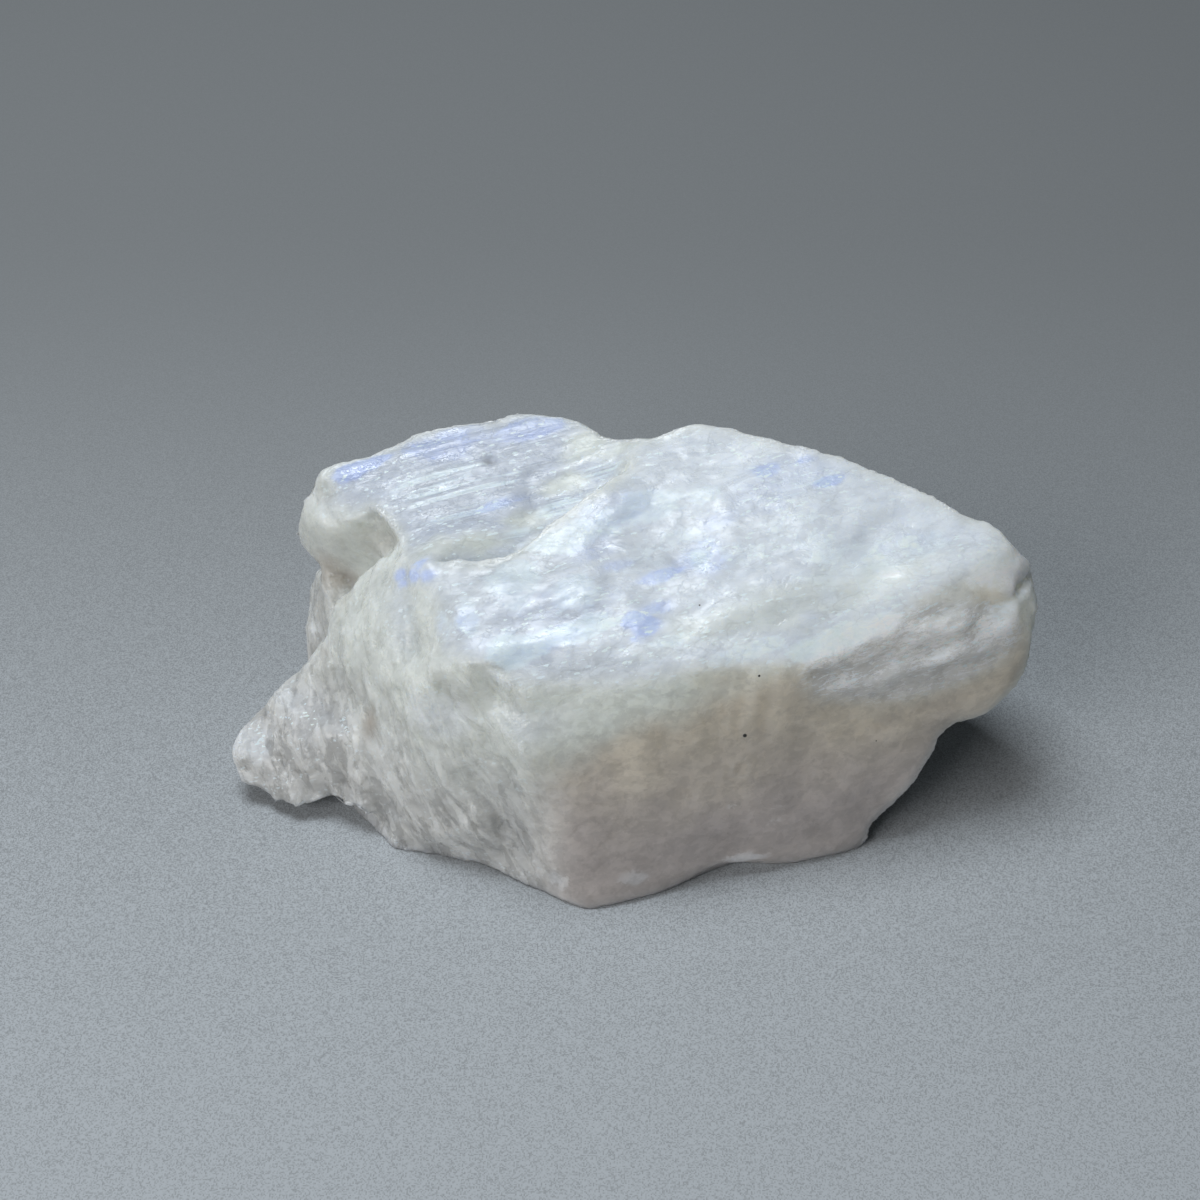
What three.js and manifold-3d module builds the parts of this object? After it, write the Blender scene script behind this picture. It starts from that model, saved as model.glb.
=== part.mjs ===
// A rough piece of rainbow moonstone (feldspar), broken from a larger crystal and never cut or polished.
//
// It is one solid. Its top is a set of parallel cleavage faces that slope down towards the front: a broad
// main face, and a narrower striated slab a few millimetres lower at the back left, with a valley between
// them. The front is one steep, fairly even fracture face, with a band of broken crystal edges above its
// right half. The left side is rougher and runs out into a low toe. A ledge juts out of the left end over
// a recess, and the right end is a blunt, cracked tip that overhangs the ground.
//
// Units are millimetres, +Z is up, +X runs along the stone and -Y is its front.
// The solid is first described by a field that is negative inside the stone. Surface nets on a grid in
// line with the crystal turn the field into a closed mesh, which is last cut flat where the stone rests.

import * as THREE from "three";
import { ConvexHull } from "three/addons/math/ConvexHull.js";
import { ImprovedNoise } from "three/addons/math/ImprovedNoise.js";
import { mergeVertices } from "three/addons/utils/BufferGeometryUtils.js";
import Module from "manifold-3d";

const { degToRad, smoothstep } = THREE.MathUtils;

// ---------------------------------------------------------------- driving dimensions

const CLEAVAGE_TILT = degToRad(20); // how far the cleavage faces slope down to the front
const CLEAVAGE_HEIGHT = 29; // of the main face, above the origin
const SLAB_DROP = 3; // from the main face down to the striated slab
const GRAIN_HEADING = degToRad(18); // direction of the striations, from +X towards +Y
const UNDER_BASE = -2; // the blocks reach this low before the flat resting face is cut

const CORNER_ROUNDING = 0.3; // softness of the corners between two faces of a block
const BLOCK_BLEND = 0.8; // softness where blocks and cuts meet

const WAVES = [{ length: 13, height: 0.5 }, { length: 5.5, height: 0.2 }]; // gentle unevenness everywhere
const CHIPS = { length: 5.4, height: 0.7 }; // flat-faceted chipping of the fractured sides
const TERRACES = { along: 14, across: 8, count: 2, height: 0.34 }; // broken steps on the cleavage faces
const STRIAE = { pitch: 3.1, height: 0.3 }; // ridges along the slab
const LAMELLAE = { pitch: 2.6, height: 0.6 }; // edges of crystal layers in the band at the right
const BAND = { centre: new THREE.Vector3(27, -13, 20), radius: 13 }; // where those layers show
const LEDGE = { centre: new THREE.Vector3(-31, 4.5, 22), radius: 9 }; // a worn place with less chipping

// Grid size: along the grain, across it and through the layers.
const CELL = new THREE.Vector3(2.1, 1.25, 1.25);
const MARGIN = 4; // of the grid around the blocks

const MOONSTONE = { color: 0xcdd3d6, roughness: 0.42, metalness: 0 };

// ---------------------------------------------------------------- directions and corners

const LAYERS = new THREE.Vector3(0, -Math.sin(CLEAVAGE_TILT), Math.cos(CLEAVAGE_TILT));
const GRAIN = new THREE.Vector3(Math.cos(GRAIN_HEADING), Math.sin(GRAIN_HEADING), 0)
  .projectOnPlane(LAYERS)
  .normalize();
const ACROSS = new THREE.Vector3().crossVectors(LAYERS, GRAIN);
const SLAB_LEVEL = (CLEAVAGE_HEIGHT - SLAB_DROP) * LAYERS.z; // of the slab, measured through the layers
const CRYSTAL = new THREE.Matrix4().makeBasis(GRAIN, ACROSS, LAYERS);
const TO_CRYSTAL = CRYSTAL.clone().invert();

const at = (x, y, z) => new THREE.Vector3(x, y, z);

// A point on the main cleavage face, or a given drop below it.
const onTop = (x, y, drop = 0) => at(x, y, CLEAVAGE_HEIGHT + y * Math.tan(CLEAVAGE_TILT) - drop);
const onSlab = (x, y, drop = 0) => onTop(x, y, SLAB_DROP + drop);
const below = (x, y) => at(x, y, UNDER_BASE);

// ---------------------------------------------------------------- the blocks the stone is made of

const BLOCKS = {
  main: [
    // the resting side, from the left round the front to the hidden back
    below(-28.6, -14.4), below(-23, -20.2), below(-4, -27.7), below(16.9, -21.9), below(24.2, -18.9),
    below(18, 1), below(-17, 4),
    // the overhanging right end, from the foot up to the tip
    at(27.6, -16.2, 5.2), at(37.2, -11.6, 12.1), at(39.4, -10.2, 15.4), at(40.2, -9, 18),
    at(40.7, -6, 21), at(39.8, -3.6, 24.5), at(38.8, 3, 18), at(34, 7, 13),
    // the front edge of the main face, and the bevel under its right half
    onTop(-16.5, -15.4), onTop(-9, -17.3), onTop(2.2, -17.6), onTop(12.2, -16.7), onTop(19.8, -12),
    onTop(31.6, -7), at(-22, -15.6, 18.4), at(-10, -20, 18.4), at(2.2, -19.7, 18.6),
    onTop(15.7, -16.9, 2.4), onTop(21.4, -15.6, 5), onTop(26.2, -14.4, 6.4), onTop(36.8, -10.3, 5),
    // its right and back edges
    onTop(36.6, -4, 0.1), onTop(31.8, 0.7, -0.2), onTop(24.2, 5.1, -0.3), onTop(19.2, 6.9, -0.4),
    onTop(11.8, 9.6, -0.3), onTop(7.2, 10.4, 0.3),
    // its left edge along the valley, and the left shoulder down to the toe
    onTop(1.7, 3.9), onTop(-6.9, -1.1), onTop(-12.6, -6), onTop(-19, -7, 0.4), at(-23.4, -1.4, 24),
    at(-26, -1.2, 23.4), at(-28, -1.8, 21.4), at(-29.2, -2.2, 18.9), at(-30.6, -3.6, 13.4),
    at(-29.5, -9, 8),
    // the hidden back
    at(4, 15, 22), at(18, 13, 19), at(29, 9.5, 19), at(-14, 12, 8), at(6, 9, 4), at(-26, 5, 5),
  ],
  frontPlate: [
    onTop(-18.6, -7.6, -0.2), onTop(-13.9, -6.8, -0.6), onTop(-6.2, -6, -0.7),
    onTop(1.8, -11.2, -0.7), onTop(3, -15.5, -0.4), onTop(-8, -16.5, -0.4), onTop(-18, -12),
    onTop(-10, -10, 4), onTop(-2, -12, 4),
  ],
  slab: [
    at(-33.3, 7.4, 27.8), at(-33.7, 7.2, 26.3), at(-33.6, 7.2, 24.5), at(-33.2, 7.4, 22.7),
    onSlab(-31.4, 8, 0.2), onSlab(-21.8, 11.8), onSlab(-16, 13), onSlab(-10.4, 14.2),
    onSlab(-5.6, 12.6), onSlab(-1.6, 10.8), onSlab(0, 2), onSlab(-14, -5), onSlab(-26.5, 3.7),
    onSlab(-29, 4.9, 0.3), at(-30, 9.5, 19), at(-26.5, 3.8, 18),
    at(-20, 15, 20), at(-8, 18, 19), at(4, 15.5, 20), at(-8, 14, 8), at(-20, 8, 10), at(0, 4, 10),
  ],
  slabFoot: [
    onSlab(-26.2, 3.4, 0.1), onSlab(-24.4, 0.4, 0.1), onSlab(-22.8, -2.4, 0.2), onSlab(-20, -4.6, 0.3),
    onSlab(-14, -5), onSlab(-10, 4), onSlab(-22, 8), at(-24, -3.4, 19), at(-25.6, 3, 18), at(-12, 4, 14),
  ],
  lip: [
    // the rim, from the left
    at(-34.3, 7, 25.3), at(-31.5, 5.6, 26.2), at(-28.5, 4, 26.3), at(-25.8, 2, 25.4), at(-25.2, 1.6, 24.2),
    // the bulging face, and the underside back to the left
    at(-31, 2.8, 24.2), at(-28.4, 1.8, 23.4), at(-33.2, 4.8, 23.1), at(-31, 3, 20.6),
    at(-25.9, 1.6, 19.9), at(-28.2, 2.6, 16.2), at(-30.3, 3.6, 16.6), at(-32.5, 5, 17.2),
    at(-34.5, 6.4, 18.3), at(-35.5, 7, 20.4), at(-35.3, 7.2, 22.6),
    at(-26, 9, 24.4), at(-24, 10, 17), at(-24, 4, 18),
  ],
  valleyFloor: [
    onTop(-1.8, 10.6, 2.8), onTop(2.4, 10.4, 1.8), onTop(7.4, 10, 0.6), onTop(6, 7.3, 1),
    onTop(-6, -1, 2.2), onTop(-9, 2, 3.2), onTop(-5, 10, 3), at(8, 15, 22), at(-4, 16, 20),
    at(-6, 6, 14), at(6, 4, 14),
  ],
  toe: [
    at(-41.3, -9.8, 5), at(-40.8, -12.4, 2), at(-37.4, -14.7, 0.6), at(-29.6, -16.6, 1.4),
    at(-24, -18, 2), at(-39.7, -6.8, 7.2), at(-37, -4.8, 10), at(-34.4, -3.8, 11.6), at(-31, -3, 14.4),
    at(-37, -3, 4), at(-29, 2, 2), at(-22, 0, 12), at(-22, -14, 10),
  ],
  // joins the slab, the ledge, the lump and the main block inside the left end
  core: [
    at(-30.4, -1.8, 3.2), at(-30.2, -1.8, 8), at(-28, 1.5, 16), at(-29.4, 7, 6), at(-28.6, 7, 16),
    at(-27, 8.6, 22), at(-26, 2.4, 20.4), at(-10, -4, 3), at(-10, 8, 5), at(-10, 10, 22), at(-12, -4, 20),
  ],
  backLump: [
    at(-31.2, 3, 18), at(-32.8, 3.4, 15.4), at(-33.8, 3.4, 12.2), at(-34.9, 3.6, 9.2), at(-35, 3.4, 6.4),
    at(-32.4, -2.6, 4), at(-30.8, -2, 10), at(-33.6, 10.4, 12.3), at(-35, 9, 7), at(-33, 1, 2),
    at(-26, 10, 1), at(-20, 13, 6), at(-22, 12, 16), at(-22, 2, 3), at(-28, 4, 17), at(-18, 0, 10),
  ],
};

const CUTS = {
  // a trough along the foot of the step between the slab and the main face
  trough: [
    onTop(-18, -6.2, 2.6), onTop(-13, -4.6, 3.9), onTop(-6.8, 0.4, 4), onTop(-0.6, 5, 3.4),
    onTop(-18.8, -6.8, -3), onTop(-12.9, -5.5, -3), onTop(-6.9, -0.5, -3), onTop(0.8, 4.6, -3),
    onTop(-20, 0.6, 2.4), onTop(-8.6, 7.4, 2.4), onTop(-0.6, 10.4, 1.8),
  ],
  // a pocket in the left end, between the ledge and the shoulder
  pocket: [
    at(-25.5, 2, 24.6), at(-23.4, 2, 24.6), at(-23.2, 2, 22.4), at(-24.9, 2, 21.2),
    at(-25.3, -3.5, 30.6), at(-22, -3.5, 30.5), at(-21.7, -3.5, 26.4), at(-24, -3.5, 24.2),
    at(-25.7, -3.5, 25.9),
  ],
  // two shallow scoops at the foot of the front, either side of the corner it stands on
  leftScoop: [
    at(-13.8, -22.2, -3), at(-12.6, -21.6, 6), at(-3.6, -27.6, -3), at(-24, -19.2, -3), at(-5, -27.6, 8),
    at(-22, -21.2, 9), at(-14, -34, -3), at(-14, -34, 12),
  ],
  rightScoop: [
    at(10.6, -20.2, -3), at(10.6, -20.6, 1.2), at(1, -25.4, -3), at(17, -20.6, -3), at(2, -26, 1.6),
    at(17, -22, 1.6), at(9, -34, -3), at(9, -34, 3),
  ],
  // the hollow low on the right, between the foot and the overhanging tip
  underTip: [
    at(30.3, -18, 11.1), at(31, 3, 10.4), at(20.8, -24, -3), at(22, 3, -3), at(44, -18, 12.9),
    at(44, 3, 12), at(44, -24, -3), at(44, 3, -3),
  ],
  // the crack that splits the tip
  tipCrack: [
    at(34.2, -10.4, 22.3), at(35, -5, 23.4), at(44, -12, 20), at(44, -12, 22.8), at(44, -3, 23),
    at(44, -3, 25.8),
  ],
};

// ---------------------------------------------------------------- the bulk of the stone as a field

// Smooth maximum and minimum: the larger or smaller value, with the crossing rounded over about `soft`.
const smoothMax = (a, b, soft) => {
  const h = Math.max(soft - Math.abs(a - b), 0) / soft;
  return Math.max(a, b) + (h * h * soft) / 4;
};
const smoothMin = (a, b, soft) => -smoothMax(-a, -b, soft);

// Two hull faces count as one plane when they are this close in direction (a cosine) and in distance.
const SAME = { direction: 0.9995, distance: 0.1 };

// The planes of the corners' convex hull, each once.
function planesOf(corners) {
  const planes = [];
  for (const { normal, constant: offset } of new ConvexHull().setFromPoints(corners).faces) {
    const isNear = (p) => Math.abs(p.offset - offset) < SAME.distance;
    const known = planes.some((p) => isNear(p) && p.normal.dot(normal) > SAME.direction);
    if (!known) planes.push({ normal: normal.clone(), offset });
  }
  return planes;
}

// Distance outside the planes, rounded where they meet.
function planesField(planes, p) {
  const distances = planes.map(({ normal, offset }) => normal.dot(p) - offset);
  const largest = Math.max(...distances);
  const sum = distances.reduce((total, d) => total + Math.exp((d - largest) / CORNER_ROUNDING), 0);
  return largest + CORNER_ROUNDING * Math.log(sum);
}

const blocks = Object.fromEntries(
  Object.entries(BLOCKS).map(([name, corners]) => [name, planesOf(corners)]),
);
const cuts = Object.values(CUTS).map(planesOf);

function bulk(p) {
  const joined = Object.values(blocks)
    .map((planes) => planesField(planes, p))
    .reduce((a, b) => smoothMin(a, b, BLOCK_BLEND));
  return cuts.reduce((f, planes) => smoothMax(f, -planesField(planes, p), BLOCK_BLEND), joined);
}

function gradientOf(f, p) {
  const STEP = 0.05;
  const value = f(p);
  const slope = (axis) => (f(p.clone().setComponent(axis, p.getComponent(axis) + STEP)) - value) / STEP;
  return new THREE.Vector3(slope(0), slope(1), slope(2));
}

// ---------------------------------------------------------------- relief on top of the bulk

const perlin = new ImprovedNoise();

// A repeatable random height from -1 to 1 for a lattice point.
function latticeHeight(i, j, k) {
  let h = Math.imul(i, 374761393) ^ Math.imul(j, 668265263) ^ Math.imul(k, 1274126177);
  h = Math.imul(h ^ (h >>> 13), 1103515245);
  return (((h ^ (h >>> 16)) >>> 0) / 0xffffffff) * 2 - 1;
}

// Random heights on a tetrahedral lattice, joined by flat facets.
function facets(x, y, z) {
  const skew = (x + y + z) / 3;
  const place = [x + skew, y + skew, z + skew];
  const corner = place.map(Math.floor);
  const inside = place.map((value, axis) => ({ axis, share: value - corner[axis] }));
  inside.sort((a, b) => b.share - a.share);
  let height = latticeHeight(...corner) * (1 - inside[0].share);
  inside.forEach(({ axis, share }, n) => {
    corner[axis] += 1;
    height += latticeHeight(...corner) * (share - (inside[n + 1]?.share ?? 0));
  });
  return height;
}

const TREAD = 0.78; // share of each step of a stair that is flat
const LONG_SIDE = 0.75; // share of a ridge's width that its gentler side takes

// A rising stair with flat treads and narrow slopes between them.
const stair = (t) => Math.floor(t) + smoothstep(t - Math.floor(t), TREAD, 1);

// A ridge with one long and one short side, from 0 to 1, once for each unit of t.
const sawtooth = (t) => {
  const share = t - Math.floor(t);
  return Math.min(share / LONG_SIDE, (1 - share) / (1 - LONG_SIDE));
};

// How far each kind of surface holds at a point, from 0 to 1: the main cleavage face, the striated slab,
// the chipped sides, which leave the front calmer than the rest, and the band of crystal layers.
function kindsAt(p, normal) {
  const flatness = normal.dot(LAYERS);
  const high = smoothstep(p.dot(LAYERS), SLAB_LEVEL - 3, SLAB_LEVEL - 2);
  const onSlabBlock = smoothstep(planesField(blocks.main, p) - planesField(blocks.slab, p), 0.2, 1.2);
  const cleavage = high * smoothstep(flatness, 0.8, 0.95);
  const side = 1 - high * smoothstep(flatness, 0.6, 0.9);
  const front = smoothstep(p.x, -12, -4) * smoothstep(-normal.y, 0.4, 0.8);
  const beyond = ({ centre, radius }) => smoothstep(p.distanceTo(centre), radius * 0.55, radius);
  return {
    face: cleavage * (1 - 0.6 * onSlabBlock),
    slab: cleavage * onSlabBlock,
    chipped: side * (1 - 0.72 * front) * (0.25 + 0.75 * beyond(LEDGE)),
    band: side * (1 - beyond(BAND)),
  };
}

// Broken steps, with edges that lie more along the grain than across it.
function terraces(along, across) {
  const broken = perlin.noise(along / TERRACES.along, across / TERRACES.across, 3.3);
  return stair(TERRACES.count * (broken + 1)) - TERRACES.count;
}

function relief(p) {
  const kinds = kindsAt(p, gradientOf(bulk, p).normalize());
  const along = p.dot(GRAIN);
  const across = p.dot(ACROSS);
  const level = p.dot(LAYERS);
  const wander = 0.35 * perlin.noise(along / 15, across / 9, 11);

  let height = 0;
  for (const wave of WAVES)
    height += wave.height * perlin.noise(p.x / wave.length, p.y / wave.length, p.z / wave.length + 7);
  height += kinds.chipped * CHIPS.height * facets(...p.clone().divideScalar(CHIPS.length));
  height += kinds.face * TERRACES.height * terraces(along, across);
  height += kinds.slab * STRIAE.height * (sawtooth(across / STRIAE.pitch + wander) - 0.5);
  height += kinds.band * LAMELLAE.height * (sawtooth(level / LAMELLAE.pitch + 0.5 * wander) - 0.5);
  return height;
}

const RELIEF_REACH = 3; // the relief is worked out only this near the bulk's surface

function field(p) {
  const f = bulk(p);
  return Math.abs(f) > RELIEF_REACH ? f : f - relief(p);
}

// ---------------------------------------------------------------- from the field to a closed mesh

const CUBE_CORNERS = [0, 1, 2, 3, 4, 5, 6, 7].map((n) => at(n & 1, (n >> 1) & 1, (n >> 2) & 1));
const CUBE_EDGES = [0, 1, 2].flatMap((axis) =>
  CUBE_CORNERS.filter((corner) => !corner.getComponent(axis)).map((from) => ({ from, axis })),
);
const FIT_ROUNDS = 80;
const BARELY_INSIDE = 0.05;
const CELL_INSET = 0.04; // how far inside its cell a vertex stays, as a share of the cell

// One vertex for each grid cell that the surface crosses, and one quad for each grid edge it crosses. The
// grid stands in the crystal's own directions, and the vertices sit on the edges between faces.
function meshOf(f, box) {
  const counts = box.getSize(new THREE.Vector3()).divide(CELL).ceil().toArray();
  const nodes = counts.map((n) => n + 1);
  const stride = [1, nodes[0], nodes[0] * nodes[1]];
  const indexOf = (node) => node.x + node.y * stride[1] + node.z * stride[2];
  const place = (node) => node.clone().multiply(CELL).add(box.min).applyMatrix4(CRYSTAL);
  const each = (from, to, visit) => {
    for (let z = from; z < to[2]; z++)
      for (let y = from; y < to[1]; y++) for (let x = from; x < to[0]; x++) visit(at(x, y, z));
  };

  const values = new Float64Array(nodes[0] * nodes[1] * nodes[2]);
  each(0, nodes, (node) => (values[indexOf(node)] = f(place(node))));

  // Where only the diagonal corners of a grid square are inside, the surface would touch itself along an
  // edge, so the square is filled, until there is none left.
  const isInside = (home) => values[home] < 0;
  const diagonal = (corners) => {
    const [a, b, c, d] = corners.map(isInside);
    return a === c && b === d && a !== b;
  };
  const touching = () => {
    const found = [];
    each(0, counts, (node) => {
      const home = indexOf(node);
      for (const [u, v] of [[0, 1], [1, 2], [2, 0]]) {
        const corners = [home, home + stride[u], home + stride[u] + stride[v], home + stride[v]];
        if (diagonal(corners)) found.push(...corners.filter((corner) => !isInside(corner)));
      }
    });
    return found;
  };
  for (let found = touching(); found.length; found = touching())
    for (const home of found) values[home] = -BARELY_INSIDE;

  const crosses = (home, axis) => isInside(home) !== isInside(home + stride[axis]);

  // Where the surface crosses a grid edge, and its normal there.
  const crossings = new Map();
  function crossingOn(node, axis) {
    const home = indexOf(node);
    if (!crosses(home, axis)) return [];
    const key = home * 3 + axis;
    if (!crossings.has(key)) {
      const share = values[home] / (values[home] - values[home + stride[axis]]);
      const point = place(node.clone().setComponent(axis, node.getComponent(axis) + share));
      crossings.set(key, { point, normal: gradientOf(f, point).normalize() });
    }
    return [crossings.get(key)];
  }

  // The vertex moves from the middle of the crossings towards the planes that touch the surface at them.
  function vertexIn(cell, found) {
    const p = found.reduce((sum, { point }) => sum.add(point), at(0, 0, 0)).divideScalar(found.length);
    for (let round = 0; round < FIT_ROUNDS; round++) {
      const pull = at(0, 0, 0);
      for (const { point, normal } of found)
        pull.addScaledVector(normal, normal.dot(point) - normal.dot(p));
      p.addScaledVector(pull, 1 / found.length);
    }
    const inCell = p.applyMatrix4(TO_CRYSTAL).sub(box.min).divide(CELL).sub(cell);
    return place(inCell.clampScalar(CELL_INSET, 1 - CELL_INSET).add(cell));
  }

  const vertexOf = new Map();
  const positions = [];
  each(0, counts, (cell) => {
    const found = CUBE_EDGES.flatMap(({ from, axis }) => crossingOn(from.clone().add(cell), axis));
    if (!found.length) return;
    vertexOf.set(indexOf(cell), positions.length / 3);
    positions.push(...vertexIn(cell, found));
  });

  const triangles = [];
  each(1, counts, (node) => {
    const home = indexOf(node);
    for (let axis = 0; axis < 3; axis++) {
      if (!crosses(home, axis)) continue;
      const u = stride[(axis + 1) % 3];
      const v = stride[(axis + 2) % 3];
      const [a, b, c, d] = [home - u - v, home - v, home, home - u].map((cell) => vertexOf.get(cell));
      triangles.push(...(isInside(home) ? [a, b, c, a, c, d] : [a, c, b, a, d, c]));
    }
  });
  return { positions, triangles };
}

// ---------------------------------------------------------------- closed meshes to and from manifold-3d

const wasm = await Module();
wasm.setup();

function solidOf(positions, triangles) {
  const vertProperties = new Float32Array(positions);
  const triVerts = new Uint32Array(triangles);
  return new wasm.Manifold(new wasm.Mesh({ numProp: 3, vertProperties, triVerts }));
}

function solidOfGeometry(geometry) {
  const bare = new THREE.BufferGeometry();
  bare.setAttribute("position", geometry.getAttribute("position")).setIndex(geometry.index);
  const merged = mergeVertices(bare);
  return solidOf(merged.attributes.position.array, merged.index.array);
}

function geometryOf(solid) {
  const { vertProperties, triVerts } = solid.getMesh();
  const geometry = new THREE.BufferGeometry();
  geometry.setAttribute("position", new THREE.BufferAttribute(new Float32Array(vertProperties), 3));
  geometry.setIndex(new THREE.BufferAttribute(new Uint32Array(triVerts), 1));
  return geometry;
}

// ---------------------------------------------------------------- the stone

// The box around all the blocks, in the crystal's directions.
function gridBox() {
  const corners = Object.values(BLOCKS).flat();
  return new THREE.Box3()
    .setFromPoints(corners.map((corner) => corner.clone().applyMatrix4(TO_CRYSTAL)))
    .expandByScalar(MARGIN);
}

function stoneGeometry() {
  const { positions, triangles } = meshOf(field, gridBox());
  const ground = new THREE.BoxGeometry(200, 200, 20).translate(0, 0, -10);
  const geometry = geometryOf(solidOf(positions, triangles).subtract(solidOfGeometry(ground)));
  geometry.computeBoundingBox();
  const middle = geometry.boundingBox.getCenter(new THREE.Vector3());
  geometry.translate(-middle.x, -middle.y, 0); // puts the origin on the ground under the middle
  geometry.computeVertexNormals();
  return geometry;
}

const stone = new THREE.Mesh(stoneGeometry(), new THREE.MeshStandardMaterial(MOONSTONE));
stone.name = "moonstone";

const part = new THREE.Group();
part.add(stone);

export default part;
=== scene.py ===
"""A rough piece of rainbow moonstone on a pale surface."""

import math

import bpy
import numpy as np
from mathutils import Matrix, Vector


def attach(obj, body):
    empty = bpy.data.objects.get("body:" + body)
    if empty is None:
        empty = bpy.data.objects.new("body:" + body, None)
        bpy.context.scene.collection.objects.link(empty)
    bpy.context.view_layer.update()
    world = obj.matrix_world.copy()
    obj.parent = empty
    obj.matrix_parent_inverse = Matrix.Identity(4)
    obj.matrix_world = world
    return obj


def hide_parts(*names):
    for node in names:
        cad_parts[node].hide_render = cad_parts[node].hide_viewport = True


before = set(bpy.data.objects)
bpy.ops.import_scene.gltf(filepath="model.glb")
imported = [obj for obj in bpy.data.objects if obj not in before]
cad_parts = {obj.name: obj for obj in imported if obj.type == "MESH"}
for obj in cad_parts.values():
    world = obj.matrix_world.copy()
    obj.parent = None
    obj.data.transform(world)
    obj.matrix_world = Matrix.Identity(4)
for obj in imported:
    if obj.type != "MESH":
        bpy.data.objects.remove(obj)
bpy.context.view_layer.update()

MM = 0.001

# ---------------------------------------------------------------- the stone's directions and measures in mm

CLEAVAGE_TILT = math.radians(20)
GRAIN_HEADING = math.radians(18)
LAYERS = np.array([0.0, -math.sin(CLEAVAGE_TILT), math.cos(CLEAVAGE_TILT)])
GRAIN = np.array([math.cos(GRAIN_HEADING), math.sin(GRAIN_HEADING), 0.0])
GRAIN -= LAYERS * GRAIN.dot(LAYERS)
GRAIN /= np.linalg.norm(GRAIN)
ACROSS = np.cross(LAYERS, GRAIN)
CRYSTAL = np.stack([GRAIN, ACROSS, LAYERS], axis=1)

# The slant of the flakes on the left side: down along them, and out of the stone.
DOWN = np.array([0.45, -0.46, -0.76])
OUT = np.array([-0.60, -0.78, 0.12])
DOWN /= np.linalg.norm(DOWN)
SIDEWAYS = np.cross(OUT, DOWN)
SIDEWAYS /= np.linalg.norm(SIDEWAYS)
SLANTED = np.stack([DOWN, SIDEWAYS, np.cross(DOWN, SIDEWAYS)], axis=1)

SLAB_LEVEL = 22.8  # height of the striated slab through the layers, from the origin
VOXEL = 0.35  # width of the fine mesh's cells

# How far smoothing spreads, in square millimetres.
SOFTENING = 0.4  # over the whole solid
WAXING = 1.5  # over the front and the worn places, which are smoother
NORMAL_SPREAD = 1.4  # over the normals, before a face counts as upper, front or left
COLOUR_SPREAD = 3.5  # over the large colour areas, so that they run into each other softly

# Middles and half lengths of single features.
BAND = ((27.0, -7.5, 20.5), (15.0, 12.0, 5.5))
STREAKS = ((-18.5, 10.5, 27.5), (8.0, 4.5, 6.0))
FOLDS = ((12.0, -13.1, 18.0), (3.6, 5.0, 6.0))
LEDGE = ((-31.0, 8.0, 21.0), (8.0, 8.0, 8.0))
LEDGE_CALM = 0.8  # how much smoother the ledge is than the other sides
# The recess under the ledge, where painted shade darkens the colour.
RECESS = ((-31.0, 9.0, 14.5), (6.0, 8.0, 6.5))
WORN = [((39.6, -0.6, 23.4), (3.4, 3.4, 2.6)), ((26.4, -3.0, 26.2), (3.0, 1.6, 1.6))]

# The ringed chip on the front.
RING = (10.7, -15.1, 12.4)
RING_RADIUS = 0.95
RING_WIDTH = 0.35
RING_HEIGHT = 0.12

# The crack at the right end: a point on it, the direction it faces and its size.
CRACK = (34.3, -5.6, 22.3)
CRACK_NORMAL = (0.056, -0.207, 0.977)
CRACK_WIDTH = 0.25
CRACK_DEPTH = 0.25

# Small pits: place, radius and depth.
PITS = [
    ((-13.8, 12.6, 28.9), 1.1, 0.5),
    ((-25.4, -7.4, 12.6), 1.2, 0.35),
    ((8.6, -14.2, 12.0), 1.3, 0.25),
]


# ---------------------------------------------------------------- noise for moving the mesh

# Large odd numbers that scramble the bits of a point's three whole numbers, of the seed and of the result.
SCRAMBLE = [np.uint32(number) for number in (374761393, 668265263, 1274126177)]
SEED_SCRAMBLE = 2654435761
LAST_SCRAMBLE = np.uint32(1103515245)
LARGEST = 0xFFFFFFFF

OCTAVES = 3  # layers of noise in a fractal, each half as large as the one before
TERRACE_STEP = 0.45  # height of one terrace, where the noise lies mostly between -1 and 1


def lattice(cell, seed):
    """A repeatable random number from -1 to 1 for each whole-numbered point."""
    i, j, k = cell.astype(np.int64).astype(np.uint32).T
    h = i * SCRAMBLE[0] ^ j * SCRAMBLE[1] ^ k * SCRAMBLE[2]
    h ^= np.uint32(seed * SEED_SCRAMBLE % (LARGEST + 1))
    h = (h ^ (h >> np.uint32(13))) * LAST_SCRAMBLE
    h ^= h >> np.uint32(16)
    return h / LARGEST * 2 - 1


def facets(p, seed):
    """Random heights on a tetrahedral lattice, joined by flat facets."""
    place = p + p.sum(axis=1, keepdims=True) / 3
    cell = np.floor(place)
    share = place - cell
    order = np.argsort(-share, axis=1)
    sorted_share = np.take_along_axis(share, order, axis=1)
    steps = np.hstack([sorted_share, np.zeros((len(p), 1))])
    height = lattice(cell, seed) * (1 - steps[:, 0])
    rows = np.arange(len(p))
    for n in range(3):
        cell[rows, order[:, n]] += 1
        height += lattice(cell, seed) * (steps[:, n] - steps[:, n + 1])
    return height


def smooth_noise(p, seed):
    """Gradual noise, from -1 to 1, with features about one unit across."""
    cell = np.floor(p)
    t = p - cell
    t = t * t * t * (t * (t * 6 - 15) + 10)
    total = np.zeros(len(p))
    for corner in np.ndindex(2, 2, 2):
        corner = np.array(corner)
        weight = np.prod(np.where(corner, t, 1 - t), axis=1)
        total += weight * lattice(cell + corner, seed)
    return total


def fractal(p, seed):
    """Noise with features about one unit across, and finer ones on them."""
    return sum(smooth_noise(p * 2**n, seed + n) / 2**n for n in range(OCTAVES))


def ramp(value, low, high):
    """0 below low, 1 above high, with a soft change between them."""
    t = np.clip((value - low) / (high - low), 0, 1)
    return t * t * (3 - 2 * t)


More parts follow.
